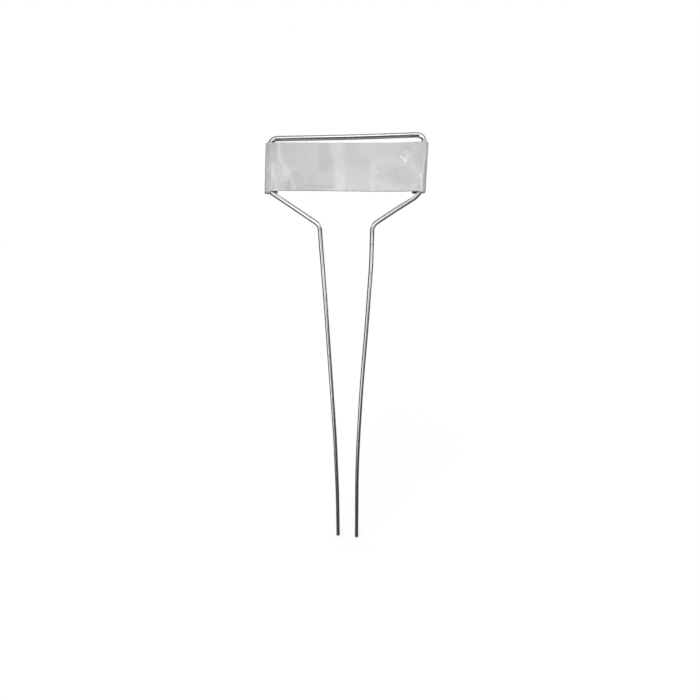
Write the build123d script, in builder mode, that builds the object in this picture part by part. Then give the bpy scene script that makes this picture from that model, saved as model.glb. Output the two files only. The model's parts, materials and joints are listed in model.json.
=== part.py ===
from build123d import *
from math import cos, pi, radians, tan
import os

# Plant label stake: one bent galvanised wire that stands in the soil on two legs,
# and a sheet nameplate whose two ends are folded back round the sides of its head loop.
# Frame: +Z up, the plate faces -Y, and the origin is on the soil line midway
# between the legs, so the legs run down from it into the soil.

# Stock
wire_diameter = 2.6
sheet_thickness = 0.4
fold_clearance = 0.1  # between the wire and the sheet that is folded round it

# Legs, which stand in the upright plane through the origin
planting_depth = 100.0  # from the soil line down to the cut ends
leg_length = 222.0  # from the knees down to the cut ends, both legs' mean
leg_skew = 1.6  # the right leg is cut this much longer than the left one
knee_spacing = 29.3  # between the legs' centre lines at the knees
foot_spacing = 14.0  # between the parallel lower stretches
left_foot_length = 61.5  # from the lower bend down to the legs' mean end
right_foot_length = 80.5
kink_drop = 22.0  # the right leg's slight set lies this far below its knee
kink_offset = 0.9  # and stands out this far from the straight line
lower_bend_radius = 1500.0
kink_radius = 150.0
knee_radius = 5.0

# Head loop, heights measured from the knees along the head, which leans back
head_tilt = 18.0  # degrees that the head leans back from upright
side_lean = 2.2  # degrees that both sides of the loop lean to the right
shoulder_height = 18.9
shoulder_skew = 1.2  # the left shoulder is this much higher than the right one
bar_height = 49.4
bar_rise = 1.9  # the top bar's right end is this much higher than its left end
shoulder_radius = 4.5
top_corner_radius = 4.5

# Nameplate
plate_width = 90.4  # over both folds
plate_height = 27.0
plate_bottom = 18.1  # height of the plate's lower edge above the knees
return_width = 7.2  # folded-back strip, from the outside of its fold to its free edge

# What follows from these sizes
wire_radius = wire_diameter / 2
pocket_depth = wire_diameter + 2 * fold_clearance
plate_depth = pocket_depth + 2 * sheet_thickness
side_spacing = plate_width - plate_depth  # each fold is a half round about its wire
plate_middle = plate_bottom + plate_height / 2
left_tip_level = leg_skew / 2 - planting_depth
right_tip_level = -leg_skew / 2 - planting_depth
knee_level = leg_length - planting_depth
left_foot_level = left_foot_length - planting_depth
right_foot_level = right_foot_length - planting_depth
leg_splay = (knee_spacing - foot_spacing) / 2
upper_leg_length = leg_length - right_foot_length
kink_level = knee_level - kink_drop
kink_x = knee_spacing / 2 - leg_splay * kink_drop / upper_leg_length + kink_offset

upright = 90  # degrees
head_plane = Plane(Location((0, 0, knee_level), (upright - head_tilt, 0, 0)))
lean_slope = tan(radians(side_lean))
side_direction = head_plane.y_dir + head_plane.x_dir * lean_slope


def head_point(x, height):
    return head_plane.from_local_coords((x, height, 0))


def side_point(side, height):
    return head_point(side * side_spacing / 2 + lean_slope * (height - plate_middle), height)


# Wire frame: left leg, head loop and right leg in one length of wire
left = -1
right = 1
wire_corners = [
    ((left * foot_spacing / 2, 0, left_foot_level), lower_bend_radius),
    ((left * knee_spacing / 2, 0, knee_level), knee_radius),
    (side_point(left, shoulder_height + shoulder_skew / 2), shoulder_radius),
    (side_point(left, bar_height - bar_rise / 2), top_corner_radius),
    (side_point(right, bar_height + bar_rise / 2), top_corner_radius),
    (side_point(right, shoulder_height - shoulder_skew / 2), shoulder_radius),
    ((right * knee_spacing / 2, 0, knee_level), knee_radius),
    ((kink_x, 0, kink_level), kink_radius),
    ((right * foot_spacing / 2, 0, right_foot_level), lower_bend_radius),
]
left_tip = (left * foot_spacing / 2, 0, left_tip_level)
right_tip = (right * foot_spacing / 2, 0, right_tip_level)

with BuildPart() as wire_frame:
    with BuildLine() as centre_line:
        FilletPolyline(
            left_tip,
            *[corner for corner, bend in wire_corners],
            right_tip,
            radius=[bend for corner, bend in wire_corners],
        )
    with BuildSketch(Plane(origin=left_tip, z_dir=(0, 0, 1))):
        Circle(wire_radius)
    sweep(path=centre_line.wires()[0])

# Nameplate: one strip of sheet, flat in front, with a half round fold and a return at each end
plate_foot = head_point(-lean_slope * plate_height / 2, plate_bottom)
plate_section = Plane(origin=plate_foot, x_dir=head_plane.x_dir, z_dir=head_plane.y_dir)
back_opening = plate_width - 2 * return_width

with BuildPart() as nameplate:
    with BuildSketch(plate_section):
        SlotOverall(plate_width, plate_depth)
        SlotOverall(plate_width - 2 * sheet_thickness, pocket_depth, mode=Mode.SUBTRACT)
        with Locations((0, plate_depth / 2)):
            Rectangle(back_opening, pocket_depth, mode=Mode.SUBTRACT)
    extrude(amount=plate_height / cos(radians(side_lean)), dir=side_direction)

# Finished pieces
wire_frame.part.label = "wire_frame"
nameplate.part.label = "nameplate"

os.makedirs("parts", exist_ok=True)
export_step(wire_frame.part, "parts/wire_frame.step")
export_step(nameplate.part, "parts/nameplate.step")

print("wire length", round(centre_line.wires()[0].length, 1), "mm")
print("wire volume over section times length",
      round(wire_frame.part.volume / (centre_line.wires()[0].length * pi * wire_radius**2), 5))
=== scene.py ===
import json
import math

import bmesh
import bpy
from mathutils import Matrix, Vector, noise


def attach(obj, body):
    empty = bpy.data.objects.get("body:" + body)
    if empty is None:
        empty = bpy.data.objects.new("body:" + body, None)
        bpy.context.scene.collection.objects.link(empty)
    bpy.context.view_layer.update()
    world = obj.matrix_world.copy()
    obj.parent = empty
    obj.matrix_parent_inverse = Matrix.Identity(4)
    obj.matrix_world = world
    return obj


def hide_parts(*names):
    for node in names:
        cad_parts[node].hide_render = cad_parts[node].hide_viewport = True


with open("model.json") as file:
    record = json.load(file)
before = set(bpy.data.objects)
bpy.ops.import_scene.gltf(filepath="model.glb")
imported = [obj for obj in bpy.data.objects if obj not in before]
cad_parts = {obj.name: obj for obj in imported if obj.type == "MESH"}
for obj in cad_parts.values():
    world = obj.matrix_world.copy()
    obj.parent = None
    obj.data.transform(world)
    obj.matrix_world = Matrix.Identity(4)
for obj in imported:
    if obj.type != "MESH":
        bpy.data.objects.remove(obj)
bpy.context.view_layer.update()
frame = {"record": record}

mm = 0.001
left, right = -1, 1
slideAxis = Vector(frame["record"]["behaviour"]["joints"][0]["axis"])
headUp = Vector((0, slideAxis.y, slideAxis.z)).normalized()  # the head leans back from upright
headFront = Vector((0, -headUp.z, headUp.y))
leanSlope = slideAxis.x / math.hypot(slideAxis.y, slideAxis.z)  # the loop's sides lean to the right
noiseSpan = (0.3, 0.7)  # nearly all values of a noise texture lie between these


# Small helpers for meshes and node trees

def makePiece(name, mesh, body, node, material):
    piece = bpy.data.objects.new(name, mesh)
    bpy.context.scene.collection.objects.link(piece)
    mesh.materials.append(material)
    for face in mesh.polygons:
        face.use_smooth = True
    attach(piece, body)
    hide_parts(node)
    return piece


def storeValues(mesh, name, kind, values):
    layer = mesh.attributes.new(name, kind, "POINT")
    field = "vector" if kind == "FLOAT_VECTOR" else "value"
    flat = [part for value in values for part in value] if kind == "FLOAT_VECTOR" else values
    layer.data.foreach_set(field, flat)


def smoothStep(low, high, value):
    share = min(max((value - low) / (high - low), 0), 1)
    return share * share * (3 - 2 * share)


class NodeSheet:
    # the node tree of a material or a world, with short calls for the nodes used here
    def __init__(self, owner):
        self.owner = owner
        owner.use_nodes = True
        self.tree = owner.node_tree
        self.tree.nodes.clear()

    def add(self, kind, settings=None, **inputs):
        node = self.tree.nodes.new(kind)
        for field, value in (settings or {}).items():
            setattr(node, field, value)
        for socket, value in inputs.items():
            self.feed(node, socket, value)
        return node

    def feed(self, node, socket, value):
        # a socket goes by its name, or by its number after a low line
        target = node.inputs[int(socket[1:])] if socket[0] == "_" else node.inputs[socket]
        if isinstance(value, bpy.types.NodeSocket):
            self.tree.links.new(value, target)
        else:
            target.default_value = value

    def attribute(self, name, output):
        return self.add("ShaderNodeAttribute", {"attribute_name": name}).outputs[output]

    def math(self, operation, first, second):
        return self.add("ShaderNodeMath", {"operation": operation}, _0=first, _1=second).outputs[0]

    def scaled(self, value, toLow, toHigh, fromLow, fromHigh):
        node = self.add("ShaderNodeMapRange", {"clamp": True}, _0=value, _1=fromLow, _2=fromHigh,
                        _3=toLow, _4=toHigh)
        return node.outputs[0]

    def noise(self, vector, scale, detail, roughness):
        return self.add("ShaderNodeTexNoise", Vector=vector, Scale=scale, Detail=detail,
                        Roughness=roughness).outputs[0]

    def grey(self, value, warmth=0.0):
        blue = self.math("MULTIPLY", value, 1 - warmth)
        return self.add("ShaderNodeCombineColor", Red=value, Green=value, Blue=blue).outputs[0]

    def directRays(self):
        # 1 for rays from the camera, from gloss and through glass
        rays = self.add("ShaderNodeLightPath").outputs
        either = self.math("MAXIMUM", rays["Is Camera Ray"], rays["Is Glossy Ray"])
        return self.math("MAXIMUM", either, rays["Is Transmission Ray"])

    def finish(self, shader, output="ShaderNodeOutputMaterial"):
        self.tree.links.new(shader, self.add(output).inputs["Surface"])
        return self.owner


# Wire frame: one bent wire, swept ring by ring along its rounded route

wire = {
    "diameter": 2.6 * mm,
    "plantingDepth": 100.0 * mm,
    "legLength": 222.0 * mm,
    "legSkew": 1.6 * mm,  # the right leg is cut this much longer than the left one
    "tipsShort": 0.3 * mm,  # what the cutter's bevel takes off
    "kneeSpacing": 29.3 * mm,
    "footSpacing": 14.0 * mm,
    "leftFootLength": 61.5 * mm,
    "rightFootLength": 80.5 * mm,
    "kinkDrop": 22.0 * mm,  # the right leg's slight set lies this far below its knee
    "kinkOffset": 0.9 * mm,
    "lowerBendRadius": 1500.0 * mm,
    "kinkRadius": 150.0 * mm,
    "kneeRadius": 5.0 * mm,
    "shoulderHeight": 18.9 * mm,  # heights above the knees, along the leaning head
    "shoulderSkew": 1.2 * mm,
    "barHeight": 49.4 * mm,
    "barRise": 1.9 * mm,
    "leftShoulderRadius": 4.5 * mm,
    "rightShoulderRadius": 12.5 * mm,  # pushed round further from the bender than the left one
    "topCornerRadius": 4.5 * mm,
    "barSet": (6.0 * mm, 49.40 * mm),  # the top bar is very slightly bent here
    "barSetRadius": 1500.0 * mm,
    "barLift": 0.45 * mm,  # and its right end lifted
    "handBends": [  # where along x and z, how far it is pushed along x and z, over what length of wire
        {"what": "left knee", "at": (-15.0, 112.0), "push": (-0.28, 0.0), "reach": 26.0},
        {"what": "left leg, low down", "at": (-8.6, -38.0), "push": (-0.16, 0.0), "reach": 28.0},
        {"what": "right leg, below its set", "at": (12.0, 62.0), "push": (0.10, 0.0), "reach": 22.0},
        {"what": "right leg, half way down", "at": (10.0, 30.0), "push": (-0.08, 0.0), "reach": 24.0},
        {"what": "right slope", "at": (26.0, 129.0), "push": (0.0, 0.22), "reach": 12.0},
    ],
    "bendFade": 1.6,
    "flakesAndSheen": [  # where bending has left the zinc pale and matt, with a painted highlight on the side that looks up: x and z, the half length, and how pale
        {"what": "inside of the right shoulder", "at": (37.6, 137.8), "reach": 4.8, "level": 1.3},
        {"what": "inside of the left shoulder", "at": (-37.0, 137.0), "reach": 3.0, "level": 1.0},
    ],
    "sheenSide": (-0.1, 0.7),  # the painted highlight fades in from the wire's flank to the side that looks up to the plate
    "ringStep": 0.6 * mm,  # spacing of the mesh rings
    "ringSides": 28,
    "zincLumps": 0.005 * mm,  # unevenness of the dipped zinc
    "lumpLength": 2.2 * mm,
    "lumpsRound": 1.3,  # how quickly the lumps change round the wire
    "grainStretch": 30,  # the draw lines are this many times longer than wide
    "pinchLength": 1.6 * mm,  # the cutter has squeezed this much of each end
    "pinchWider": 0.04,
    "pinchFlatter": 0.13,
    "cutRings": [(0.93, 0.0), (0.6, 0.45), (0.25, 0.8)],  # on the cut face: how wide, and how far out
    "cutHeight": 0.066,  # the cut face's height, as a share of the radius
    "cutRidge": 0.5,
    "finish": {
        "tone": (0.68, 0.74),
        "warmth": 0.015,
        "roughness": (0.12, 0.24),  # from bright to dull patches
        # each noise by its scale, detail and roughness
        "drawLines": (5200.0, 3.0, 0.6),
        "dull": (240.0, 4.0, 0.62),
        "lumps": (900.0, 2.0, 0.5),
        "drawLineRoughness": (-0.02, 0.03),
        "drawLineRelief": 0.6,
        "spangleScale": 620.0,  # the zinc's crystals
        "spangleTone": 0.03,
        "dullSpan": (0.35, 0.7),
        "dullTone": 0.12,
        "dullest": (0.52, 0.74),
        "lumpRelief": 0.4,
        "flakeSpan": (0.35, 0.6),
        "flakeAndSheenShare": (0.75, 1.0),
        "flakeSheenTone": 0.06,
        "flakeRoughness": 0.35,
        "flakeMatt": 0.7,
        "bumpStrength": 0.05,
        "bumpDistance": 0.03 * mm,
    },
}

kneeLevel = wire["legLength"] - wire["plantingDepth"]
headFoot = Vector((0, 0, kneeLevel))


def headPoint(x, height, forward=0.0):
    return headFoot + Vector((x, 0, 0)) + headUp * height + headFront * forward


def sideX(side, height):
    # the loop's sides are as far apart as the plate's folds
    middle = plate["bottom"] + plate["height"] / 2
    spacing = plate["width"] - wire["diameter"] - 2 * plate["clearance"] - 2 * plate["sheet"]
    return side * spacing / 2 + leanSlope * (height - middle)


def wireCorners():
    # each corner with the radius of its bend
    splay = (wire["kneeSpacing"] - wire["footSpacing"]) / 2
    kinkX = (wire["kneeSpacing"] / 2 + wire["kinkOffset"]
             - splay * wire["kinkDrop"] / (wire["legLength"] - wire["rightFootLength"]))
    rise, skew = wire["barRise"] / 2, wire["shoulderSkew"] / 2

    def tip(side):
        level = wire["tipsShort"] - wire["plantingDepth"] - side * wire["legSkew"] / 2
        return Vector((side * wire["footSpacing"] / 2, 0, level)), 0

    def lowerBend(side, footLength):
        level = footLength - wire["plantingDepth"]
        return Vector((side * wire["footSpacing"] / 2, 0, level)), wire["lowerBendRadius"]

    def knee(side):
        return Vector((side * wire["kneeSpacing"] / 2, 0, kneeLevel)), wire["kneeRadius"]

    def loopPoint(side, height, radius):
        return headPoint(sideX(side, height), height), wire[radius]

    return [
        tip(left),
        lowerBend(left, wire["leftFootLength"]),
        knee(left),
        loopPoint(left, wire["shoulderHeight"] + skew, "leftShoulderRadius"),
        loopPoint(left, wire["barHeight"] - rise, "topCornerRadius"),
        (headPoint(*wire["barSet"]), wire["barSetRadius"]),
        loopPoint(right, wire["barHeight"] + rise + wire["barLift"], "topCornerRadius"),
        loopPoint(right, wire["shoulderHeight"] - skew, "rightShoulderRadius"),
        knee(right),
        (Vector((kinkX, 0, kneeLevel - wire["kinkDrop"])), wire["kinkRadius"]),
        lowerBend(right, wire["rightFootLength"]),
        tip(right),
    ]


def roundedRoute(corners, step):
    # straight runs with a tangent arc at each corner, whose points lie twice as close
    points = [corners[0][0]]

    def run(end):
        start = points[-1]
        count = max(1, round((end - start).length / step))
        for k in range(1, count + 1):
            points.append(start.lerp(end, k / count))

    for (before, _), (corner, radius), (after, _) in zip(corners, corners[1:], corners[2:]):
        inward, outward = (corner - before).normalized(), (after - corner).normalized()
        turn = inward.angle(outward)
        run(corner - inward * radius * math.tan(turn / 2))
        start = points[-1]
        across = (outward - inward * inward.dot(outward)).normalized()
        count = max(2, round(turn * radius / (step / 2)))
        for k in range(1, count + 1):
            angle = turn * k / count
            ahead, aside = radius * math.sin(angle), radius * (1 - math.cos(angle))
            points.append(start + inward * ahead + across * aside)
    run(corners[-1][0])
    return points


def distanceTo(spot, point):
    # in millimetres, as seen from the front
    return math.hypot(point.x / mm - spot[0], point.z / mm - spot[1])


def bendByHand(points):
    # the small sets that no bender leaves out, each fading away along the wire
    moved = []
    for point in points:
        shift = Vector()
        for bend in wire["handBends"]:
            away = distanceTo(bend["at"], point) / bend["reach"]
            push = Vector((bend["push"][0], 0, bend["push"][1])) * mm
            shift += push * math.exp(-away * away * wire["bendFade"])
        moved.append(point + shift)
    return moved


# pale matt zinc at the shoulders, with a painted highlight on the side that looks up
def flakeAndSheenShare(point, look):
    share = 0.0
    for patch in wire["flakesAndSheen"]:
        away = distanceTo(patch["at"], point) / patch["reach"]
        share += patch["level"] * math.exp(-away ** 4)
    return share * smoothStep(*wire["sheenSide"], look.dot(headUp))


def buildWire(material):
    points = bendByHand(roundedRoute(wireCorners(), wire["ringStep"]))
    radius, sides = wire["diameter"] / 2, wire["ringSides"]
    lengths = [0.0]
    for a, b in zip(points, points[1:]):
        lengths.append(lengths[-1] + (b - a).length)
    shape = bmesh.new()
    grain, flakedAndSheen, rings = [], [], []
    axisX = Vector((1, 0, 0))
    for i, point in enumerate(points):
        along = (points[min(i + 1, len(points) - 1)] - points[max(i - 1, 0)]).normalized()
        axisX = (axisX - along * axisX.dot(along)).normalized()
        axisY = along.cross(axisX)
        fromEnd = min(lengths[i], lengths[-1] - lengths[i])
        pinch = 1 - smoothStep(0, wire["pinchLength"], fromEnd)
        ring = []
        for k in range(sides):
            angle = 2 * math.pi * k / sides
            cosine, sine = math.cos(angle), math.sin(angle)
            around = wire["lumpsRound"]
            spot = Vector((cosine * around, sine * around, lengths[i] / wire["lumpLength"]))
            lump = noise.noise(spot) * wire["zincLumps"]
            sideways = radius * (1 + wire["pinchWider"] * pinch) + lump
            flattened = radius * (1 - wire["pinchFlatter"] * pinch) + lump
            ring.append(shape.verts.new(point + axisX * cosine * sideways + axisY * sine * flattened))
            grain.append((cosine * radius, sine * radius, lengths[i] / wire["grainStretch"]))
            flakedAndSheen.append(flakeAndSheenShare(point, axisX * cosine + axisY * sine))
        rings.append(ring)
    for a, b in zip(rings, rings[1:]):
        for k in range(sides):
            nextSide = (k + 1) % sides
            shape.faces.new((a[k], a[nextSide], b[nextSide], b[k]))
    for ring, outward in ((rings[0], -1), (rings[-1], 1)):
        added = cutEnd(shape, ring, outward, radius)
        grain += added
        flakedAndSheen += [0.0] * len(added)
    bmesh.ops.recalc_face_normals(shape, faces=shape.faces)
    mesh = bpy.data.meshes.new("wireFrame")
    shape.to_mesh(mesh)
    shape.free()
    storeValues(mesh, "drawn", "FLOAT_VECTOR", grain)
    storeValues(mesh, "flakedAndSheen", "FLOAT", flakedAndSheen)
    return makePiece("wireFrame", mesh, "stake", "wire_frame", material)


def cutEnd(shape, ring, outward, radius):
    # the end left by side cutters: a small rounded rim, then two faces that meet in a low ridge
    middle = sum((v.co for v in ring), Vector()) / len(ring)
    down = Vector((0, 0, -1))
    grain = []
    last = ring
    for inset, drop in wire["cutRings"]:
        fresh = []
        for k, vertex in enumerate(ring):
            spoke = (vertex.co - middle) * inset
            slant = abs(math.sin(2 * math.pi * k / len(ring))) * inset  # nothing along the ridge
            lift = wire["cutHeight"] * radius * (drop - slant * wire["cutRidge"])
            fresh.append(shape.verts.new(middle + spoke + down * lift))
            grain.append((spoke.x, spoke.y, 0.0))
        for k in range(len(ring)):
            nextSide = (k + 1) % len(ring)
            quad = (last[k], last[nextSide], fresh[nextSide], fresh[k])
            shape.faces.new(quad if outward > 0 else quad[::-1])
        last = fresh
    shape.faces.new(last if outward > 0 else last[::-1])
    return grain


def galvanisedWire():
    finish = wire["finish"]
    sheet = NodeSheet(bpy.data.materials.new("galvanisedWire"))
    place = sheet.add("ShaderNodeTexCoord").outputs["Object"]
    drawLines = sheet.noise(sheet.attribute("drawn", "Vector"), *finish["drawLines"])
    spangle = sheet.add("ShaderNodeTexVoronoi", {"feature": "F1"}, Vector=place,
                        Scale=finish["spangleScale"]).outputs["Color"]
    dull = sheet.noise(place, *finish["dull"])
    lumps = sheet.noise(place, *finish["lumps"])
    flakedAndSheen = sheet.math("MULTIPLY", sheet.attribute("flakedAndSheen", "Fac"),
                        sheet.scaled(lumps, *finish["flakeAndSheenShare"], *finish["flakeSpan"]))

    tone = sheet.math("ADD", sheet.scaled(drawLines, *finish["tone"], *noiseSpan),
                      sheet.scaled(spangle, -finish["spangleTone"], finish["spangleTone"], 0.0, 1.0))
    tone = sheet.math("SUBTRACT", tone, sheet.scaled(dull, 0.0, finish["dullTone"], *finish["dullest"]))
    # lighter tone of the flakes: pale zinc and a painted highlight on their upward side
    tone = sheet.math("ADD", tone, sheet.math("MULTIPLY", flakedAndSheen, finish["flakeSheenTone"]))

    roughness = sheet.math("ADD", sheet.scaled(dull, *finish["roughness"], *finish["dullSpan"]),
                           sheet.scaled(drawLines, *finish["drawLineRoughness"], *noiseSpan))
    roughness = sheet.math("ADD", roughness, sheet.math("MULTIPLY", flakedAndSheen, finish["flakeRoughness"]))
    metal = sheet.math("SUBTRACT", 1.0, sheet.math("MULTIPLY", flakedAndSheen, finish["flakeMatt"]))

    relief = sheet.math("ADD", sheet.math("MULTIPLY", drawLines, finish["drawLineRelief"]),
                        sheet.math("MULTIPLY", lumps, finish["lumpRelief"]))
    bump = sheet.add("ShaderNodeBump", Strength=finish["bumpStrength"],
                     Distance=finish["bumpDistance"], Height=relief)
    shader = sheet.add("ShaderNodeBsdfPrincipled", Metallic=metal, Roughness=roughness,
                       Normal=bump.outputs[0])
    sheet.feed(shader, "Base Color", sheet.grey(tone, finish["warmth"]))
    return sheet.finish(shader.outputs[0])


# Nameplate: soft sheet with the marks that handling and folding have left on it, and with painted
# reflections and painted shade over its dents and creases.
# Places on it and its small departures from flat are plain millimetres, x from the middle and h from the
# lower edge.

plate = {
    "width": 90.4 * mm,
    "height": 27.0 * mm,
    "bottom": 18.1 * mm,  # above the knees, along the head
    "sheet": 0.4 * mm,
    "clearance": 0.1 * mm,
    "returnWidth": 7.2 * mm,
    "leftReturn": -0.4,  # what each folded-back strip is wider or narrower than that
    "rightReturn": 0.4,
    "gridStep": 0.3 * mm,
    "foldSteps": 18,
    "edgeZone": 0.8 * mm,  # the cut edges are ragged, and their rows closer together, in this
    "edgeRows": (0.0, 0.07, 0.15, 0.24, 0.34, 0.46, 0.60),
    "edgeRound": 0.07 * mm,
    # over the cut edge, from the outer face to the inner one: how far out, how deep, and tone
    "rim": [("outer", 0.7, 0.3, 0.2), ("outer", 1.0, 1.0, 0.2),
            ("inner", 1.0, 1.0, 0.1), ("inner", 0.7, 0.3, 0.0)],
    "ragged": 0.03 * mm,
    "raggedLength": 6.0 * mm,
    "raggedPlaces": (2.0, 9.0),  # in the noise, of the lower and the upper edge
    "bow": 0.16,  # the front's slight belly from fold to fold
    "bowEnd": 43.0,
    "dish": 0.15,  # and its hollow from the lower to the upper edge
    "swell": 0.05,
    "heldFlat": (34.0, 41.5),  # from here outwards the folds hold the sheet flat
    "heldRelief": 0.4,
    "lowRoll": 0.12,  # how far the shears have drawn back the lower edge
    "rollHeight": 0.45,  # and over what height
    "rollEnd": (38.0, 41.0),
    "leftFlare": (0.0, 0.55),  # how far each fold stands out at the lower and the upper edge
    "rightFlare": (-0.35, 0.38),
    "leftDrop": 0.25 * mm,  # the folded-back strips hang this much lower than the front
    "rightDrop": -0.1 * mm,
    "leftEar": 1.3 * mm,  # and so do the front's lower corners, where the sheet was bent round the wire
    "rightEar": 0.95 * mm,
    "earStart": (41.2, 42.0),  # from here outwards
    "rightEarEnd": (42.9, 45.0),  # the right one is cut off at a slant
    "earHeight": 3.0,
    "earShade": 0.5,  # painted shade along the corner's lower edge
    "earShadeHeight": 1.2,
    "pocketShadeOut": (41.5, 44.0),  # painted shade sits in the pocket beside the wire, no further out or up than this
    "pocketShadeUp": (2.0, 6.0),
    "pocketShadeIn": (36.5, 40.0),
    "turnedSpan": (0.65, 0.95),  # over this part of its turn a fold's outside becomes oxidised
    # how the hand-cut edges wander: x from the middle, then how far up
    "lowerEdge": [(-45.2, 0.32), (-40.0, 0.34), (-35.0, 0.42), (-20.0, 0.40), (-8.0, 0.30), (0.0, 0.15),
                  (12.0, 0.04), (25.0, 0.02), (32.0, 0.10), (38.0, 0.22), (45.2, 0.34)],
    "upperEdge": [(-45.2, 0.30), (-40.0, 0.15), (-27.0, 0.10), (-18.0, 0.05), (-7.0, -0.12), (2.0, -0.10),
                  (20.0, -0.02), (28.0, 0.12), (34.0, 0.40), (39.0, 0.70), (45.2, 0.85)],
    # soft unevenness: the width and height of its waves, their place in the noise, and their share
    "frontWaves": [(24, 17, 3.1, 1.0), (9, 8, 7.7, 0.4)],
    "backWaves": [(15, 11, 21.0, 0.9), (5, 6, 33.0, 0.5)],
    "finish": {
        "tone": (0.615, 0.685),
        "sheenAndRubTone": 0.13,
        "roughness": (0.34, 0.44),
        "sheenAndRubRoughness": 0.04,
        # each noise by its scale, detail and roughness
        "clouds": (62.0, 3.0, 0.55),
        "mottle": (420.0, 3.0, 0.6),
        "rolled": (480.0, 4.0, 0.65),  # the rolling mill's fine lines, drawn out along the strip
        "mottleTone": 0.015,
        "mottleRoughness": 0.03,
        "mottleRelief": 0.3,
        "rolledStretch": (1.0, 14.0, 14.0),
        "rolledTone": 0.02,
        "rolledRelief": 0.7,
        "pocketShadeShare": (0.75, 0.95),
        "pocketShadeRoughness": 0.25,
        "skinShare": (0.34, 0.5),  # how much of the unseen sides' oxide skin hides the metal
        "bumpStrength": 0.12,
        "bumpDistance": 0.02 * mm,
    },
}
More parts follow.
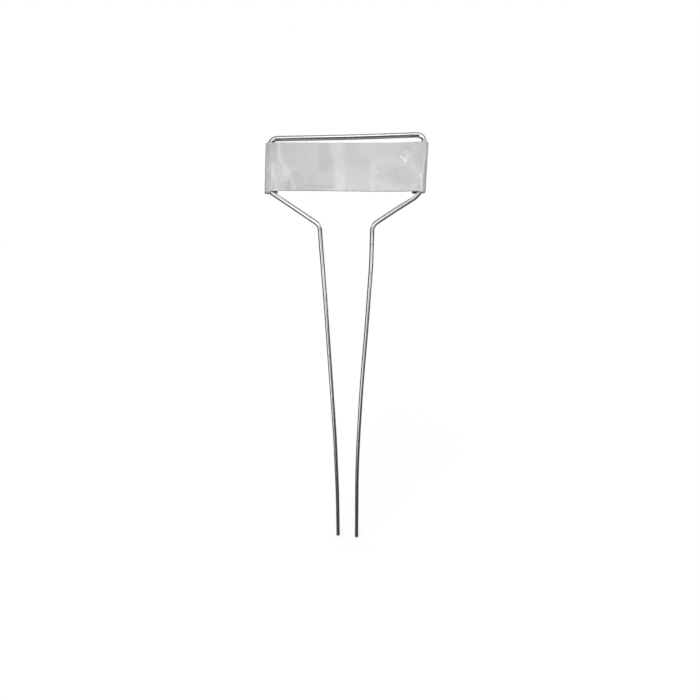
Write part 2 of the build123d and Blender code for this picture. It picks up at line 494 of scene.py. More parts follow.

# Marks are soft strokes. A path's places are x, h and the half width there, crisp is how sharply the stroke
# ends, relief is how far it stands proud in millimetres, and tone is how much lighter or duller it is:
# partly rubbing and dull spots, partly painted reflections and painted shade of the sheet's dents and
# creases.
plateMarks = [
    {"what": "band that bends into the left crease", "crisp": 3, "relief": 0.02, "tone": 0.62,
     "path": [(-38.1, 27.4, 1.1), (-37.8, 21.9, 1.1), (-37.1, 18.0, 1.0), (-35.8, 15.8, 1.1),
              (-33.8, 13.6, 1.1), (-32.0, 11.9, 0.7)]},
    {"what": "its brighter upper end", "crisp": 3, "tone": 0.45,
     "path": [(-38.1, 27.4, 1.0), (-38.0, 20.5, 0.7)]},
    {"what": "left crease", "crisp": 3, "relief": 0.02, "tone": 0.5,
     "path": [(-31.75, 10.8, 0.55), (-30.3, 7.5, 0.44), (-29.3, 4.2, 0.4), (-28.1, 0.8, 0.36)]},
    {"what": "bright field inside the left crease", "crisp": 4, "relief": 0.015, "tone": 0.55,
     "path": [(-34.6, 11.6, 1.6), (-33.4, 9.9, 2.0), (-34.0, 7.9, 1.6), (-35.6, 6.6, 0.8)]},
    {"what": "fine line down from the bend", "crisp": 2, "relief": 0.01, "tone": 0.35,
     "path": [(-37.2, 17.0, 0.4), (-37.1, 9.5, 0.35)]},
    {"what": "dull dot by the fine line", "crisp": 2, "tone": -0.34,
     "path": [(-38.2, 12.4, 0.5), (-38.0, 10.8, 0.5)]},
    {"what": "dull wedge under the left crease", "crisp": 4, "relief": -0.01, "tone": -0.6,
     "path": [(-31.3, 6.4, 0.4), (-31.9, 3.6, 1.2), (-32.2, 0.8, 1.9)]},
    {"what": "dull field beside the left crease", "crisp": 4, "tone": -0.3,
     "path": [(-27.5, 9.5, 1.8), (-25.6, 5.0, 2.8), (-24.2, 1.0, 3.2)]},
    {"what": "faint line from the bend", "crisp": 2, "relief": 0.005, "tone": 0.25,
     "path": [(-31.8, 12.8, 0.4), (-27.0, 12.5, 0.4), (-22.3, 11.7, 0.35)]},
    {"what": "fold mark, left branch", "crisp": 3, "relief": 0.015, "tone": 0.5,
     "path": [(-40.8, 15.2, 1.0), (-40.6, 10.6, 1.0), (-41.0, 6.1, 0.35), (-41.1, 0.8, 0.35)]},
    {"what": "fold mark, right branch", "crisp": 2, "relief": 0.01, "tone": 0.45,
     "path": [(-40.4, 10.4, 0.5), (-39.7, 8.0, 0.35), (-38.9, 4.4, 0.35), (-38.1, 0.8, 0.35)]},
    {"what": "dull wedge between the branches", "crisp": 3, "tone": -0.3,
     "path": [(-40.2, 7.2, 0.2), (-40.0, 1.0, 1.0)]},
    {"what": "dull strip at the left fold", "crisp": 3, "tone": -0.16,
     "path": [(-42.9, 12.0, 0.7), (-42.9, 1.0, 0.9)]},
    {"what": "dull foot of the left fold", "crisp": 3, "tone": -0.6,
     "path": [(-42.6, 10.0, 0.8), (-42.2, 1.0, 2.2)]},
    {"what": "dull field, upper left", "crisp": 4, "relief": -0.01, "tone": -0.1,
     "path": [(-32.0, 24.5, 3.2), (-31.0, 19.5, 3.4)]},
    {"what": "light field left of the middle", "crisp": 4, "relief": 0.01, "tone": 0.14,
     "path": [(-18.5, 24.0, 3.2), (-18.5, 16.0, 3.4)]},
    {"what": "dull band left of the middle", "crisp": 4, "relief": -0.01, "tone": -0.3,
     "path": [(-13.0, 26.0, 2.6), (-12.6, 18.0, 3.2), (-12.6, 13.0, 3.0)]},
    {"what": "bright band by the middle", "crisp": 5, "relief": 0.02, "tone": 0.42,
     "path": [(-6.0, 27.0, 3.5), (-5.6, 21.4, 3.1), (-4.2, 17.5, 2.7), (-4.3, 13.1, 2.6), (-4.1, 9.2, 3.0),
              (-3.6, 2.5, 3.3)]},
    {"what": "its brighter lower half", "crisp": 4, "relief": 0.005, "tone": 0.12,
     "path": [(-4.0, 10.4, 2.2), (-3.5, 3.6, 2.4)]},
    {"what": "small dull dot beside it", "crisp": 2, "tone": -0.26,
     "path": [(-1.6, 18.4, 0.5), (-1.6, 17.2, 0.5)]},
    {"what": "dull field right of the middle", "crisp": 4, "relief": -0.01, "tone": -0.32,
     "path": [(1.6, 24.2, 3.4), (4.6, 17.8, 4.4), (9.2, 16.8, 3.4)]},
    {"what": "bright band right of the middle", "crisp": 3, "relief": 0.02, "tone": 0.36,
     "path": [(14.6, 16.0, 1.5), (14.7, 9.2, 1.5), (15.0, 1.4, 1.6)]},
    {"what": "light arc", "crisp": 3, "relief": 0.01, "tone": 0.26,
     "path": [(16.4, 16.9, 1.6), (23.0, 18.0, 2.4), (29.7, 16.4, 1.6), (34.8, 14.7, 0.8),
              (38.1, 13.6, 0.6)]},
    {"what": "light dot", "crisp": 2, "tone": 0.6, "path": [(16.8, 11.0, 0.6), (17.4, 10.4, 0.6)]},
    {"what": "light dot, second", "crisp": 2, "tone": 0.25, "path": [(22.4, 7.5, 0.5), (22.9, 7.0, 0.5)]},
    {"what": "dull scuff between the dots", "crisp": 3, "tone": -0.35,
     "path": [(17.6, 9.1, 0.5), (19.2, 8.5, 0.7), (20.4, 8.3, 0.5)]},
    {"what": "light field, low at the right", "crisp": 3, "relief": 0.01, "tone": 0.24,
     "path": [(17.9, 5.4, 1.4), (23.6, 3.0, 2.0), (29.2, 1.6, 1.4)]},
    {"what": "dull field at the right", "crisp": 4, "relief": -0.01, "tone": -0.34,
     "path": [(23.2, 9.8, 2.0), (29.0, 8.4, 3.4), (35.0, 6.5, 4.4)]},
    {"what": "dull smudge in it", "crisp": 3, "tone": -0.34,
     "path": [(26.2, 12.2, 1.4), (27.8, 12.0, 1.4)]},
    {"what": "second dull smudge", "crisp": 3, "tone": -0.22,
     "path": [(32.8, 12.6, 1.1), (33.8, 12.3, 1.1)]},
    {"what": "pressed tick", "crisp": 3, "relief": -0.01, "tone": 1.2,
     "path": [(29.7, 19.7, 0.45), (30.6, 18.8, 0.75), (32.0, 17.4, 0.8), (33.0, 16.4, 0.5)]},
    {"what": "soft light patch beside the tick", "crisp": 3, "relief": 0.02, "tone": 0.5,
     "path": [(32.6, 21.9, 1.2), (34.2, 19.8, 1.6), (33.3, 17.6, 1.2)]},
    {"what": "dull dot in the patch", "crisp": 2, "tone": -0.7,
     "path": [(31.2, 20.4, 0.5), (31.6, 19.9, 0.5)]},
    {"what": "dull dot over the tick", "crisp": 2, "tone": -0.45,
     "path": [(29.7, 22.3, 0.6), (30.1, 21.9, 0.6)]},
    {"what": "dull streak over the patch", "crisp": 3, "tone": -0.4,
     "path": [(30.4, 23.6, 0.6), (33.0, 24.1, 0.8), (35.4, 24.2, 0.7)]},
    {"what": "light field over the right fold", "crisp": 4, "tone": 0.22,
     "path": [(38.3, 23.8, 1.2), (38.3, 22.6, 1.2)]},
    {"what": "dull field by the right fold", "crisp": 4, "relief": -0.01, "tone": -0.26,
     "path": [(39.0, 20.2, 1.6), (40.0, 15.2, 1.8)]},
    {"what": "light stroke under the arc", "crisp": 2, "tone": 0.3,
     "path": [(37.5, 13.2, 0.6), (37.4, 11.0, 0.6)]},
    {"what": "bright dot at the right fold", "crisp": 2, "relief": 0.005, "tone": 0.55,
     "path": [(41.6, 8.9, 0.7), (41.0, 8.1, 0.8)]},
    {"what": "second bright dot", "crisp": 2, "tone": 0.4, "path": [(40.4, 7.3, 0.6), (39.8, 6.6, 0.6)]},
    {"what": "light corner, lower right", "crisp": 4, "relief": 0.01, "tone": 0.15,
     "path": [(38.0, 5.6, 1.1), (38.2, 2.2, 1.3)]},
    {"what": "dull foot of the right fold", "crisp": 3, "tone": -0.5,
     "path": [(40.2, 7.0, 0.8), (40.4, 1.0, 1.8)]},
    {"what": "dull strip beside the right fold", "crisp": 3, "tone": -0.25,
     "path": [(41.6, 24.0, 0.9), (41.8, 11.5, 0.9)]},
    {"what": "line along the right fold", "crisp": 2, "relief": 0.01, "tone": 0.6,
     "path": [(43.2, 20.0, 0.4), (43.1, 11.5, 0.4), (41.4, 8.7, 0.45), (42.2, 7.4, 0.35),
              (42.2, 1.2, 0.4)]},
    {"what": "its fainter upper end", "crisp": 2, "relief": 0.005, "tone": 0.4,
     "path": [(43.3, 27.4, 0.4), (43.2, 20.6, 0.4)]},
    {"what": "long dull streak", "crisp": 3, "tone": -0.55,
     "path": [(-21.9, 3.0, 0.45), (-18.0, 2.5, 0.65), (-8.0, 2.4, 0.6), (-6.0, 2.5, 0.35)]},
    {"what": "dull patch at its left end", "crisp": 3, "tone": -0.26,
     "path": [(-20.6, 6.4, 1.1), (-18.6, 4.6, 1.4)]},
    {"what": "dull line along the lower edge, left", "crisp": 4, "tone": -0.9,
     "path": [(-33.5, 0.1, 0.6), (-24.0, 0.1, 0.65), (-12.0, 0.1, 0.6)]},
    {"what": "dull line along the lower edge, right", "crisp": 4, "tone": -0.5,
     "path": [(-10.5, 0.1, 0.7), (12.0, 0.1, 0.6), (38.0, 0.1, 0.6)]},
    {"what": "dull strip at the right fold", "crisp": 3, "tone": -1.2,
     "path": [(43.9, 16.0, 0.5), (43.7, 11.5, 0.6), (43.3, 8.8, 0.75), (43.3, 1.0, 0.8)]},
    {"what": "dull spot at the foot of the bright field", "crisp": 3, "tone": -0.45,
     "path": [(-34.3, 7.6, 0.8), (-33.9, 6.9, 0.8)]},
    {"what": "dull stroke beside the left crease", "crisp": 3, "tone": -0.35,
     "path": [(-30.7, 11.2, 0.4), (-29.1, 7.6, 0.6), (-28.1, 4.6, 0.5)]},
    {"what": "dull edge of the band left of the middle", "crisp": 3, "tone": -0.25,
     "path": [(-15.7, 24.0, 0.5), (-15.5, 16.0, 0.5)]},
    {"what": "light strip right of the bright band", "crisp": 3, "tone": 0.25,
     "path": [(-0.9, 12.0, 0.9), (-0.7, 3.0, 1.0)]},
    {"what": "short arm of the tick", "crisp": 3, "tone": 0.35,
     "path": [(32.6, 17.2, 0.5), (33.9, 19.4, 0.6)]},
]

# The same for the back of the front sheet and the folded-back strips, x as seen from the front.
backMarks = [
    {"what": "press line beside the left fold", "crisp": 2, "tone": 0.8,
     "path": [(-37.1, 26.6, 0.5), (-37.3, 14.0, 0.6), (-37.0, 0.6, 0.5)]},
    {"what": "press line beside the right fold", "crisp": 2, "tone": 0.7,
     "path": [(37.3, 26.6, 0.5), (37.1, 13.0, 0.5), (37.4, 0.6, 0.6)]},
    {"what": "dull strip along the left one", "crisp": 3, "tone": -0.6,
     "path": [(-34.6, 26.0, 1.4), (-34.2, 1.0, 1.8)]},
    {"what": "dull strip along the right one", "crisp": 3, "tone": -0.5,
     "path": [(34.4, 26.0, 1.6), (34.8, 1.0, 1.3)]},
    {"what": "rubbed band right of the middle", "crisp": 4, "tone": 0.6,
     "path": [(8.0, 26.5, 3.0), (5.5, 15.0, 3.8), (6.5, 0.8, 3.0)]},
    {"what": "rubbed band, left", "crisp": 4, "tone": 0.5,
     "path": [(-21.0, 26.0, 2.0), (-19.0, 12.0, 2.6), (-20.5, 1.0, 2.0)]},
    {"what": "dull field, upper middle", "crisp": 4, "tone": -0.7,
     "path": [(-10.0, 22.0, 4.0), (-4.0, 20.5, 4.6)]},
    {"what": "dull field, lower right", "crisp": 4, "tone": -0.8,
     "path": [(18.0, 6.5, 3.6), (27.0, 7.5, 4.6)]},
    {"what": "pale field, upper right", "crisp": 4, "tone": 0.5,
     "path": [(20.0, 20.5, 3.4), (27.0, 19.0, 3.0)]},
    {"what": "long scratch", "crisp": 2, "tone": 1.1,
     "path": [(-30.0, 8.0, 0.14), (-18.0, 11.2, 0.2), (-5.0, 12.6, 0.12)]},
    {"what": "short scratch across it", "crisp": 2, "tone": 0.9,
     "path": [(-16.0, 15.0, 0.12), (-11.5, 7.0, 0.16)]},
    {"what": "scratch near the right fold", "crisp": 2, "tone": 1.0,
     "path": [(21.0, 16.5, 0.13), (31.0, 12.0, 0.16)]},
    {"what": "scuff on the left strip", "crisp": 3, "tone": 0.9,
     "path": [(-42.5, 19.0, 0.6), (-41.0, 15.0, 0.8)]},
    {"what": "dull foot of the left strip", "crisp": 3, "tone": -0.7,
     "path": [(-43.5, 4.0, 0.8), (-40.5, 1.0, 1.6)]},
    {"what": "scuff on the right strip", "crisp": 3, "tone": 0.8,
     "path": [(41.8, 10.0, 0.5), (42.4, 5.0, 0.7)]},
    {"what": "dull head of the right strip", "crisp": 3, "tone": -0.7,
     "path": [(43.6, 26.0, 1.2), (40.4, 23.5, 1.4)]},
]
markReach = 2.4  # half widths, beyond which nothing of a mark is left


def markStrength(x, h, mark):
    reach = reachFromPath(x, h, mark["path"])
    return math.exp(-reach ** mark["crisp"]) if reach < markReach else 0.0


def reachFromPath(x, h, path):
    # distance from the stroke's middle line, in half widths of the stroke at that place
    best = math.inf
    for (ax, ah, aWide), (bx, bh, bWide) in zip(path, path[1:]):
        dx, dh = bx - ax, bh - ah
        share = min(max(((x - ax) * dx + (h - ah) * dh) / (dx * dx + dh * dh), 0), 1)
        gap = math.hypot(x - ax - dx * share, h - ah - dh * share)
        best = min(best, gap / (aWide + (bWide - aWide) * share))
    return best


def uneven(x, h, waves):
    return sum(share * noise.noise(Vector((x / wide, h / high, spot))) for wide, high, spot, share in waves)


def frontSurface(x, h):
    # how far the front stands proud, in metres, and how much lighter or darker its tone is, from rubbing
    # and from painted reflections and painted shade of its dents and creases
    relief, tone = 0.0, 0.0
    for mark in plateMarks:
        strength = markStrength(x, h, mark)
        relief += mark.get("relief", 0.0) * strength
        tone += mark["tone"] * strength
    bow = plate["bow"] * max(1 - (x / plate["bowEnd"]) ** 2, 0)
    dish = plate["dish"] * (1 - (2 * h * mm / plate["height"] - 1) ** 2)
    relief += bow + plate["swell"] * uneven(x, h, plate["frontWaves"])
    held = smoothStep(*plate["heldFlat"], abs(x))
    proud = (relief - dish) * (1 - held) + max(relief, 0) * plate["heldRelief"] * held
    roll = plate["lowRoll"] * max(1 - h / plate["rollHeight"], 0) ** 2
    return (proud - roll * (1 - smoothStep(*plate["rollEnd"], abs(x)))) * mm, tone


def backTone(x, h):
    rubs = sum(mark["tone"] * markStrength(x, h, mark) for mark in backMarks)
    return uneven(x, h, plate["backWaves"]) + rubs


def wander(x, places):
    # smooth curve through a list of places and values
    if x <= places[0][0]:
        return places[0][1]
    for (a, low), (b, high) in zip(places, places[1:]):
        if x <= b:
            return low + (high - low) * smoothStep(a, b, x)
    return places[-1][1]


def plateProfile():
    # the strip's middle line in section, from the left free edge round to the right one,
    # each point with the way that its outer face looks, and the fold's place and radius
    radius = wire["diameter"] / 2 + plate["clearance"] + plate["sheet"] / 2
    foldX = plate["width"] / 2 - plate["sheet"] / 2 - radius

    def foldAndReturn(side, extra):
        freeX = plate["width"] / 2 - plate["returnWidth"] - extra * mm + plate["edgeRound"]
        spots = []
        flat = max(2, round((foldX - freeX) / plate["gridStep"]))
        for k in range(flat):
            spots.append((side * (freeX + (foldX - freeX) * k / flat), -radius, 0.0, -1.0))
        for k in range(plate["foldSteps"]):
            angle = math.pi * k / plate["foldSteps"]
            spots.append((side * (foldX + radius * math.sin(angle)), -radius * math.cos(angle),
                          side * math.sin(angle), -math.cos(angle)))
        return spots

    front = max(2, round(2 * foldX / plate["gridStep"]))
    middle = [(-foldX + 2 * foldX * k / front, radius, 0.0, 1.0) for k in range(front + 1)]
    profile = (foldAndReturn(left, plate["leftReturn"]) + middle
               + foldAndReturn(right, plate["rightReturn"])[::-1])
    return profile, foldX, radius


def plateRows():
    # heights above the lower edge, closer together where the cut edges roll over
    inset = plate["edgeRound"]
    top = plate["height"] - 2 * inset
    ends = [step * mm for step in plate["edgeRows"]]
    middle = top - 2 * plate["edgeZone"]
    count = round(middle / plate["gridStep"])
    between = [plate["edgeZone"] + middle * k / count for k in range(count + 1)]
    return [inset + row for row in ends + between + [top - end for end in ends[::-1]]]


def earShare(x, h, backShare):
    share = smoothStep(*plate["earStart"], abs(x)) * max(1 - backShare, 0)
    share *= 1 - smoothStep(0, plate["earHeight"], h)
    if x > 0:
        share *= 1 - smoothStep(*plate["rightEarEnd"], x)
    return share


def edgeShift(x, h, forward, up, backShare, ear):
    # how far a point lies above its row, in metres
    drop, hang = (plate["leftDrop"], plate["leftEar"]) if x < 0 else (plate["rightDrop"], plate["rightEar"])
    shift = mm * ((1 - up) * wander(x, plate["lowerEdge"]) + up * wander(x, plate["upperEdge"]))
    shift -= drop * backShare * (1 - up)
    shift -= hang * ear
    place = plate["raggedPlaces"][0 if up < 0.5 else 1]
    ragged = plate["ragged"] * noise.noise(Vector((x * mm / plate["raggedLength"], place, forward / mm)))
    fromEdge = min(h * mm, plate["height"] - h * mm)
    return shift + ragged * (1 - min(fromEdge / plate["edgeZone"], 1))


def foldFlare(x, up, foldX):
    # how far a fold stands out, in metres
    if abs(x) <= foldX:
        return 0.0
    outward = (abs(x) - foldX) / (plate["width"] / 2 - foldX)
    low, high = plate["leftFlare"] if x < 0 else plate["rightFlare"]
    return (left if x < 0 else right) * mm * outward * (low + (high - low) * up)


# painted shade in the pocket between the front sheet and its folded-back strip, beside the wire
def pocketShade(x, h, onFront):
    paintedShade = (1 - smoothStep(*plate["pocketShadeOut"], abs(x))) * (1 - smoothStep(*plate["pocketShadeUp"], h))
    return paintedShade * smoothStep(*plate["pocketShadeIn"], abs(x)) if onFront else paintedShade


def buildPlate(material):
    profile, foldX, foldRadius = plateProfile()
    rows = plateRows()
    across, high = len(profile), len(rows)
    half, rounding = plate["sheet"] / 2, plate["edgeRound"]
    shape = bmesh.new()
    sheenAndRubTones, paintedShades, skins = [], [], []

    def addPoint(spot, tone, paintedShade, skin=0.0):
        sheenAndRubTones.append(tone)
        paintedShades.append(paintedShade)
        skins.append(skin)
        return shape.verts.new(spot)

    outer, inner, looks = [], [], []
    for row in rows:
        h, up = row / mm, row / plate["height"]
        outerLine, innerLine, lookLine = [], [], []
        for placeX, forward, lookX, lookForward in profile:
            x = placeX / mm
            onFront = forward > 0
            backShare = (1 - forward / foldRadius) / 2  # nothing in front, whole on the folded-back strips
            proud, tone = frontSurface(x, h)
            if abs(placeX) >= foldX or not onFront:
                proud = 0.0
            ear = earShare(x, h, backShare)
            height = plate["bottom"] + row + edgeShift(x, h, forward, up, backShare, ear)
            lean = leanSlope * (row - plate["height"] / 2)
            middle = headPoint(placeX + foldFlare(placeX, up, foldX) + lean, height, forward + proud)
            look = (Vector((lookX, 0, 0)) + headFront * lookForward).normalized()
            # painted shade along the lower edge of each hanging corner
            earShadeTone = plate["earShade"] * ear * (1 - smoothStep(0, plate["earShadeHeight"], h))
            behind = backTone(x, h)
            turned = smoothStep(*plate["turnedSpan"], backShare)
            outerLine.append(addPoint(middle + look * half, tone if onFront else behind, earShadeTone, turned))
            innerLine.append(addPoint(middle - look * half, behind if onFront else 0.0,
                                      pocketShade(x, h, onFront), 1.0))
            lookLine.append(look)
        outer.append(outerLine)
        inner.append(innerLine)
        looks.append(lookLine)
    for j in range(high - 1):
        for i in range(across - 1):
            shape.faces.new((outer[j][i], outer[j][i + 1], outer[j + 1][i + 1], outer[j + 1][i]))
            shape.faces.new((inner[j][i], inner[j + 1][i], inner[j + 1][i + 1], inner[j][i + 1]))

    # cut edges, slightly rounded, all the way round the strip
    around = ([(0, i) for i in range(across)] + [(j, across - 1) for j in range(1, high)]
              + [(high - 1, i) for i in range(across - 2, -1, -1)]
              + [(j, 0) for j in range(high - 2, 0, -1)])
    loops = []
    for j, i in around:
        away = Vector()
        if j in (0, high - 1):
            away += headUp * (1 if j else -1)
        if i in (0, across - 1):
            last = 1 if i == 0 else across - 2
            away += (outer[j][i].co - outer[j][last].co).normalized()
        faces = {"outer": (outer[j][i].co, -looks[j][i]), "inner": (inner[j][i].co, looks[j][i])}
        loop = [outer[j][i]]
        for face, out, deep, tone in plate["rim"]:
            start, inward = faces[face]
            loop.append(addPoint(start + (away * out + inward * deep) * rounding, tone, 0.0))
        loops.append(loop + [inner[j][i]])
    for one, two in zip(loops, loops[1:] + loops[:1]):
        for k in range(len(one) - 1):
            shape.faces.new((one[k], one[k + 1], two[k + 1], two[k]))
    bmesh.ops.recalc_face_normals(shape, faces=shape.faces)
    mesh = bpy.data.meshes.new("nameplate")
    shape.to_mesh(mesh)
    shape.free()
    storeValues(mesh, "sheenAndRubs", "FLOAT", sheenAndRubTones)
    storeValues(mesh, "paintedShade", "FLOAT", paintedShades)
    storeValues(mesh, "oxideSkin", "FLOAT", skins)
    return makePiece("foldedNameplate", mesh, "plate", "nameplate", material)


def zincSheet():
    finish = plate["finish"]
    sheet = NodeSheet(bpy.data.materials.new("zincSheet"))
    place = sheet.add("ShaderNodeTexCoord").outputs["Object"]
    sheenAndRubs = sheet.attribute("sheenAndRubs", "Fac")
    clouds = sheet.noise(place, *finish["clouds"])
    mottle = sheet.noise(place, *finish["mottle"])
    stretched = sheet.add("ShaderNodeMapping", Vector=place, Scale=finish["rolledStretch"]).outputs[0]
    rolled = sheet.noise(stretched, *finish["rolled"])

    def spread(value, amount):
        return sheet.scaled(value, -amount, amount, *noiseSpan)

    # painted shade darkens the pockets inside the folds and the lower edge of each hanging corner
    paintedShade = sheet.math("MULTIPLY", sheet.attribute("paintedShade", "Fac"),
                       sheet.scaled(mottle, *finish["pocketShadeShare"], *noiseSpan))
    tone = sheet.math("ADD", sheet.scaled(clouds, *finish["tone"], *noiseSpan),
                      spread(mottle, finish["mottleTone"]))
    tone = sheet.math("ADD", tone, spread(rolled, finish["rolledTone"]))
    # the marks' tone: rubbing and dull spots, and painted reflections and painted shade of the dents and
    # creases
    tone = sheet.math("ADD", tone, sheet.math("MULTIPLY", sheenAndRubs, finish["sheenAndRubTone"]))
    tone = sheet.math("MULTIPLY", tone, sheet.math("SUBTRACT", 1.0, paintedShade))

    roughness = sheet.math("ADD", sheet.scaled(clouds, *finish["roughness"], *noiseSpan),
                           spread(mottle, finish["mottleRoughness"]))
    roughness = sheet.math("SUBTRACT", roughness, sheet.math("MULTIPLY", sheenAndRubs, finish["sheenAndRubRoughness"]))
    roughness = sheet.math("ADD", roughness, sheet.math("MULTIPLY", paintedShade, finish["pocketShadeRoughness"]))
    skin = sheet.math("MULTIPLY", sheet.attribute("oxideSkin", "Fac"),
                      sheet.scaled(clouds, *finish["skinShare"], *noiseSpan))
    metal = sheet.math("SUBTRACT", 1.0, skin)

    relief = sheet.math("ADD", sheet.math("MULTIPLY", rolled, finish["rolledRelief"]),
                        sheet.math("MULTIPLY", mottle, finish["mottleRelief"]))
    bump = sheet.add("ShaderNodeBump", Strength=finish["bumpStrength"],
                     Distance=finish["bumpDistance"], Height=relief)
    shader = sheet.add("ShaderNodeBsdfPrincipled", Metallic=metal, Roughness=roughness,
                       Normal=bump.outputs[0])
    sheet.feed(shader, "Base Color", sheet.grey(tone))
    return sheet.finish(shader.outputs[0])


# Camera: square to the leaning nameplate, close in, with a wide lens

cameraPlace = {
    "fromLoop": 191.7 * mm,  # to the plane of the wire loop
    "belowKnees": 69.9 * mm,  # where the optical axis meets that plane
    "rightOfMiddle": 2.06 * mm,
    "lens": 17.6,
    "sensor": 36.0,
    "nearest": 1.0 * mm,
}


def placeCamera():
    camera = bpy.data.objects.new("Camera", bpy.data.cameras.new("Camera"))
    bpy.context.scene.collection.objects.link(camera)
    camera.data.sensor_width = cameraPlace["sensor"]
    camera.data.lens = cameraPlace["lens"]
    camera.data.clip_start = cameraPlace["nearest"]
    camera.location = headPoint(cameraPlace["rightOfMiddle"], -cameraPlace["belowKnees"],
                                cameraPlace["fromLoop"])
    camera.rotation_euler = (-headFront).to_track_quat("-Z", "Y").to_euler()
    bpy.context.scene.camera = camera


# Studio: pale floor, white surroundings, soft lamp, and a dome that only the metal's gloss sees

studio = {
    "floorDrop": 0.3 * mm,  # below the cut ends
    "floorSize": 30.0,
    "floorTone": 0.96,
    "shadowShare": 0.3,  # how much of the floor's own shading the camera sees
    "worldLevel": 0.8,
    "lampFrom": (-0.35, -0.6, 1.0),
    "lampSpread": 35.0,  # degrees
    "lampPower": 1.0,
}

dome = {
    "radius": 5.0,
    "rows": 90,
    "columns": 180,
    "lastRise": 89.5,  # degrees, where a small flat cap closes it above and below
    "allRound": 0.07,
    "straightDown": 0.32,
    "straightUp": 0.1,
    "steep": (58, 78),  # degrees over which straight up and down come in
    "softness": 1.5,
    # soft lights: azimuth from the front to the right and rise from level, half width and half height,
    # all in degrees
    "lights": [
        {"what": "soft box over the camera", "at": (0, 28.2), "size": (14.2, 11), "level": 2.4},
        {"what": "light from the ceiling", "at": (5, 69.5), "size": (16, 34), "level": 0.61},
        {"what": "tall box left of the camera", "at": (-28.4, -1.2), "size": (16.2, 21.5), "level": 2.0},
        {"what": "low box left of the camera", "at": (-32.6, -25.4), "size": (12, 10.3), "level": 1.93},
        {"what": "soft box right of the camera", "at": (27, -3.3), "size": (14.5, 7.7), "level": 2.4},
        {"what": "small low box right of it", "at": (25, -20), "size": (8, 7), "level": 1.03},
        {"what": "left wall", "at": (-57, 31.5), "size": (59, 12), "level": 1.22},
        {"what": "right wall", "at": (68, 35.6), "size": (50, 19), "level": 0.87},
        {"what": "far wall, left", "at": (-130, -22.5), "size": (15.3, 34), "level": 0.72},
        {"what": "far wall, right", "at": (142, 5), "size": (20.7, 34), "level": 0.87},
        {"what": "window behind", "at": (180, 34), "size": (30, 18), "level": 1.1},
        {"what": "table behind", "at": (180, -42), "size": (32, 17), "level": 0.12},
    ],
}


def floorMaterial():
    sheet = NodeSheet(bpy.data.materials.new("paleFloor"))
    matt = sheet.add("ShaderNodeBsdfDiffuse", Color=(studio["floorTone"],) * 3 + (1,))
    white = sheet.add("ShaderNodeEmission", Color=(1, 1, 1, 1), Strength=1.0)
    share = sheet.math("MULTIPLY", sheet.directRays(), 1 - studio["shadowShare"])
    mixed = sheet.add("ShaderNodeMixShader", _0=share, _1=matt.outputs[0], _2=white.outputs[0])
    return sheet.finish(mixed.outputs[0])


def addStagePiece(name, spots, faces, material):
    mesh = bpy.data.meshes.new(name)
    mesh.from_pydata(spots, [], faces)
    mesh.materials.append(material)
    piece = bpy.data.objects.new(name, mesh)
    bpy.context.scene.collection.objects.link(piece)
    return piece


def buildFloor():
    level = -wire["plantingDepth"] - wire["legSkew"] / 2 - studio["floorDrop"]
    half = studio["floorSize"] / 2
    corners = [(-half, -half, level), (half, -half, level), (half, half, level), (-half, half, level)]
    floor = addStagePiece("floor", corners, [(0, 1, 2, 3)], floorMaterial())
    floor.visible_glossy = False  # the lower half of the dome stands for it in the metal


def lightWorld():
    # white to the camera and in gloss, a little lower as light on the object
    sheet = NodeSheet(bpy.data.worlds.new("whiteSurround"))
    level = sheet.scaled(sheet.directRays(), studio["worldLevel"], 1.0, 0.0, 1.0)
    background = sheet.add("ShaderNodeBackground", Color=(1, 1, 1, 1), Strength=level)
    bpy.context.scene.world = sheet.finish(background.outputs[0], "ShaderNodeOutputWorld")


def addLamp():
    light = bpy.data.lights.new("softLamp", "SUN")
    light.angle = math.radians(studio["lampSpread"])
    light.energy = studio["lampPower"]
    lamp = bpy.data.objects.new("softLamp", light)
    bpy.context.scene.collection.objects.link(lamp)
    lamp.location = studio["lampFrom"]
    lamp.rotation_euler = (-Vector(studio["lampFrom"])).to_track_quat("-Z", "Y").to_euler()
    lamp.visible_glossy = False  # the dome's own lights stand for it in the metal


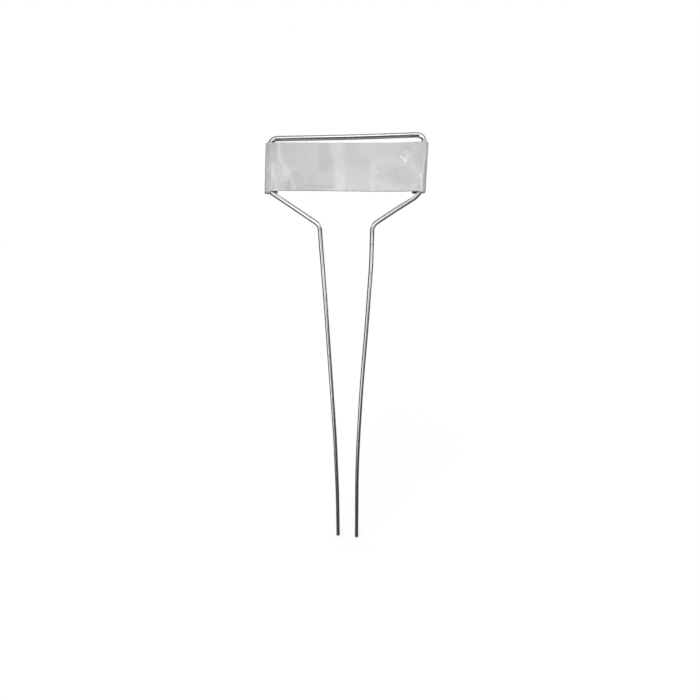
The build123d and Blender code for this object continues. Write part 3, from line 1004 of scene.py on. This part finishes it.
def domeGlow(azimuth, rise):
    # how bright the studio is in a direction, in degrees, the front being azimuth 0
    glow = dome["allRound"]
    glow += dome["straightDown"] * smoothStep(*dome["steep"], -rise)
    glow += dome["straightUp"] * smoothStep(*dome["steep"], rise)
    for light in dome["lights"]:
        (aroundTo, upTo), (wide, high) = light["at"], light["size"]
        aside = (azimuth - aroundTo + 180) % 360 - 180
        aside *= math.cos(math.radians((rise + upTo) / 2)) / wide
        above = (rise - upTo) / high
        glow += light["level"] * math.exp(-(aside * aside + above * above) ** dome["softness"])
    return glow


def domeMaterial():
    sheet = NodeSheet(bpy.data.materials.new("domeGlow"))
    light = sheet.add("ShaderNodeEmission", Color=(1, 1, 1, 1),
                      Strength=sheet.attribute("glow", "Fac"))
    material = sheet.finish(light.outputs[0])
    material.cycles.emission_sampling = "NONE"
    return material


def buildDome():
    spots, glows, faces = [], [], []
    columns, rows = dome["columns"], dome["rows"]
    for j in range(rows + 1):
        rise = math.radians(dome["lastRise"] * (2 * j / rows - 1))
        for i in range(columns):
            azimuth = 2 * math.pi * i / columns - math.pi
            flat = math.cos(rise)
            look = Vector((math.sin(azimuth) * flat, -math.cos(azimuth) * flat, math.sin(rise)))
            spots.append(look * dome["radius"])
            glows.append(domeGlow(math.degrees(azimuth), math.degrees(rise)))
    for j in range(rows):
        low, high = j * columns, (j + 1) * columns
        for i in range(columns):
            nextOne = (i + 1) % columns
            faces.append((low + i, low + nextOne, high + nextOne, high + i))
    faces.append(tuple(range(columns)))
    faces.append(tuple(rows * columns + i for i in range(columns)))
    shell = addStagePiece("studioDome", spots, faces, domeMaterial())
    storeValues(shell.data, "glow", "FLOAT", glows)
    shell.visible_camera = False
    shell.visible_diffuse = False
    shell.visible_transmission = False
    shell.visible_volume_scatter = False
    shell.visible_shadow = False


# The whole scene, stage by stage

placeCamera()
print("camera placed")
buildWire(galvanisedWire())
print("wire frame built")
buildPlate(zincSheet())
print("nameplate built")
buildFloor()
lightWorld()
addLamp()
buildDome()
bpy.context.scene.view_settings.view_transform = "Standard"
print("studio lit")
